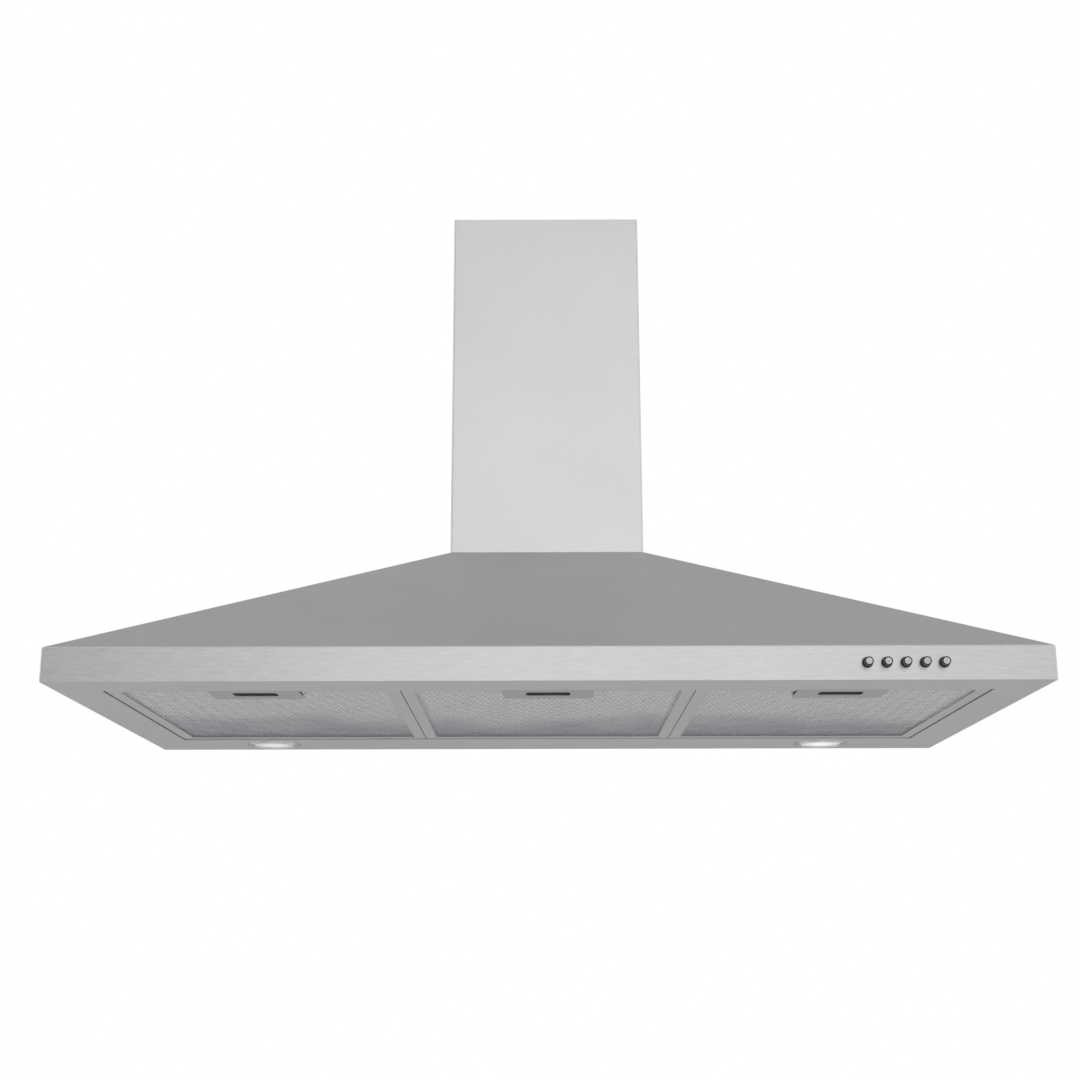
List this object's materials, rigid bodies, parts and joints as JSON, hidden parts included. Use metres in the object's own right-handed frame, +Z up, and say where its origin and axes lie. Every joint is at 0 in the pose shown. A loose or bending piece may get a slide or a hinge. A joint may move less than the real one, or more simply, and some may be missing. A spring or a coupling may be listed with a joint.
{
  "type": "chimney range hood",
  "caption": "Wall-mounted pyramid range hood in brushed stainless steel, with telescopic chimney, swing-down mesh filters, lamps, push buttons and blower.",
  "frame": {"origin": "on the wall plane, at the middle of the hood's rear bottom edge", "axes": "+X along the wall to the right as seen by the cook, +Y into the wall, +Z up"},
  "size_m": [0.9, 0.499, 0.5938],
  "materials": {
    "stainless_sheet": "brushed along X",
    "panel_steel": "fine brushed",
    "galvanised_steel": "zinc spangle, dull",
    "filter_aluminium": "rolled, satin",
    "mesh_aluminium": "expanded layers, satin",
    "latch_steel": "satin",
    "latch_plastic": "moulded, dark",
    "spring_steel": "drawn wire",
    "zinc_screws": "zinc plated",
    "lamp_chrome": "satin chrome",
    "lamp_glass": "frosted",
    "lamp_aluminium": "die cast",
    "button_plastic": "metallised, satin",
    "bezel_plastic": "moulded, black",
    "switch_plastic": "moulded, white",
    "brass_terminals": "stamped",
    "housing_plastic": "moulded, black",
    "impeller_plastic": "moulded, black",
    "motor_enamel": "enamelled",
    "shaft_steel": "ground",
    "capacitor_case": "moulded, white",
    "grommet_rubber": "moulded, black"
  },
  "bodies": {
    "hood": {"canopy_shell": "stainless_sheet", "lower_chimney": "stainless_sheet", "underside_panel": "panel_steel", "filter_rail_left": "panel_steel", "filter_rail_right": "panel_steel", "back_panel": "galvanised_steel", "blower_bracket_left": "galvanised_steel", "blower_bracket_right": "galvanised_steel", "motor_bracket": "galvanised_steel", "capacitor_clip": "galvanised_steel", "scroll_left": "housing_plastic", "scroll_right": "housing_plastic", "outlet_collar": "housing_plastic", "terminal_box": "housing_plastic", "terminal_cover": "housing_plastic", "cable_gland": "bezel_plastic", "blower_screws": "zinc_screws", "motor_screws": "zinc_screws", "collar_screws": "zinc_screws", "motor": "motor_enamel", "button_bezels": "bezel_plastic", "switch_housing": "switch_plastic", "switch_terminals": "brass_terminals", "run_capacitor": "capacitor_case", "cable_grommet": "grommet_rubber", "lamp_bezel_left": "lamp_chrome", "lamp_lens_left": "lamp_glass", "lamp_body_left": "lamp_aluminium", "lamp_bezel_right": "lamp_chrome", "lamp_lens_right": "lamp_glass", "lamp_body_right": "lamp_aluminium"},
    "filter_left": {"filter_frame_left": "filter_aluminium", "filter_mesh_left": "mesh_aluminium", "latch_plate_left": "latch_steel", "latch_springs_left": "spring_steel", "latch_rivets_left": "zinc_screws"},
    "latch_left": {"latch_slider_left": "latch_plastic"},
    "filter_centre": {"filter_frame_centre": "filter_aluminium", "filter_mesh_centre": "mesh_aluminium", "latch_plate_centre": "latch_steel", "latch_springs_centre": "spring_steel", "latch_rivets_centre": "zinc_screws"},
    "latch_centre": {"latch_slider_centre": "latch_plastic"},
    "filter_right": {"filter_frame_right": "filter_aluminium", "filter_mesh_right": "mesh_aluminium", "latch_plate_right": "latch_steel", "latch_springs_right": "spring_steel", "latch_rivets_right": "zinc_screws"},
    "latch_right": {"latch_slider_right": "latch_plastic"},
    "impeller": {"impeller": "impeller_plastic", "motor_shaft": "shaft_steel"},
    "damper_left": {"damper_flap_left": "housing_plastic"},
    "damper_right": {"damper_flap_right": "housing_plastic"},
    "upper_chimney": {"upper_chimney": "stainless_sheet", "chimney_bracket": "galvanised_steel"},
    "button_1": {"button_1": "button_plastic"},
    "button_2": {"button_2": "button_plastic"},
    "button_3": {"button_3": "button_plastic"},
    "button_4": {"button_4": "button_plastic"},
    "button_5": {"button_5": "button_plastic"}
  },
  "joints": [
    {"name": "filter_left_swing", "type": "hinge", "parent": "hood", "child": "filter_left", "pos_m": [-0.2716, -0.0887, 0.0013], "axis": [1, 0, 0], "range_deg": [0, 75]},
    {"name": "filter_centre_swing", "type": "hinge", "parent": "hood", "child": "filter_centre", "pos_m": [0, -0.0887, 0.0013], "axis": [1, 0, 0], "range_deg": [0, 75]},
    {"name": "filter_right_swing", "type": "hinge", "parent": "hood", "child": "filter_right", "pos_m": [0.2716, -0.0887, 0.0013], "axis": [1, 0, 0], "range_deg": [0, 75]},
    {"name": "latch_left_slide", "type": "slide", "parent": "filter_left", "child": "latch_left", "axis": [0, 1, 0], "range_m": [0, 0.004], "stiffness_N_per_m": 600, "springref_m": -0.005, "deforming": ["latch_springs_left"]},
    {"name": "latch_centre_slide", "type": "slide", "parent": "filter_centre", "child": "latch_centre", "axis": [0, 1, 0], "range_m": [0, 0.004], "stiffness_N_per_m": 600, "springref_m": -0.005, "deforming": ["latch_springs_centre"]},
    {"name": "latch_right_slide", "type": "slide", "parent": "filter_right", "child": "latch_right", "axis": [0, 1, 0], "range_m": [0, 0.004], "stiffness_N_per_m": 600, "springref_m": -0.005, "deforming": ["latch_springs_right"]},
    {"name": "impeller_spin", "type": "hinge", "parent": "hood", "child": "impeller", "pos_m": [0, -0.118, 0.1253], "axis": [1, 0, 0], "continuous": true},
    {"name": "damper_left_swing", "type": "hinge", "parent": "hood", "child": "damper_left", "pos_m": [-0.0045, -0.065, 0.2813], "axis": [0, 1, 0], "range_deg": [0, 75]},
    {"name": "damper_right_swing", "type": "hinge", "parent": "hood", "child": "damper_right", "pos_m": [0.0045, -0.065, 0.2813], "axis": [0, -1, 0], "range_deg": [0, 75]},
    {"name": "upper_chimney_slide", "type": "slide", "parent": "hood", "child": "upper_chimney", "axis": [0, 0, 1], "range_m": [0, 0.32]},
    {"name": "button_1_press", "type": "slide", "parent": "hood", "child": "button_1", "axis": [0, 1, 0], "range_m": [0, 0.003], "stiffness_N_per_m": 400, "springref_m": -0.003},
    {"name": "button_2_press", "type": "slide", "parent": "hood", "child": "button_2", "axis": [0, 1, 0], "range_m": [0, 0.003], "stiffness_N_per_m": 400, "springref_m": -0.003},
    {"name": "button_3_press", "type": "slide", "parent": "hood", "child": "button_3", "axis": [0, 1, 0], "range_m": [0, 0.003], "stiffness_N_per_m": 400, "springref_m": -0.003},
    {"name": "button_4_press", "type": "slide", "parent": "hood", "child": "button_4", "axis": [0, 1, 0], "range_m": [0, 0.003], "stiffness_N_per_m": 400, "springref_m": -0.003},
    {"name": "button_5_press", "type": "slide", "parent": "hood", "child": "button_5", "axis": [0, 1, 0], "range_m": [0, 0.003], "stiffness_N_per_m": 400, "springref_m": -0.003}
  ]
}
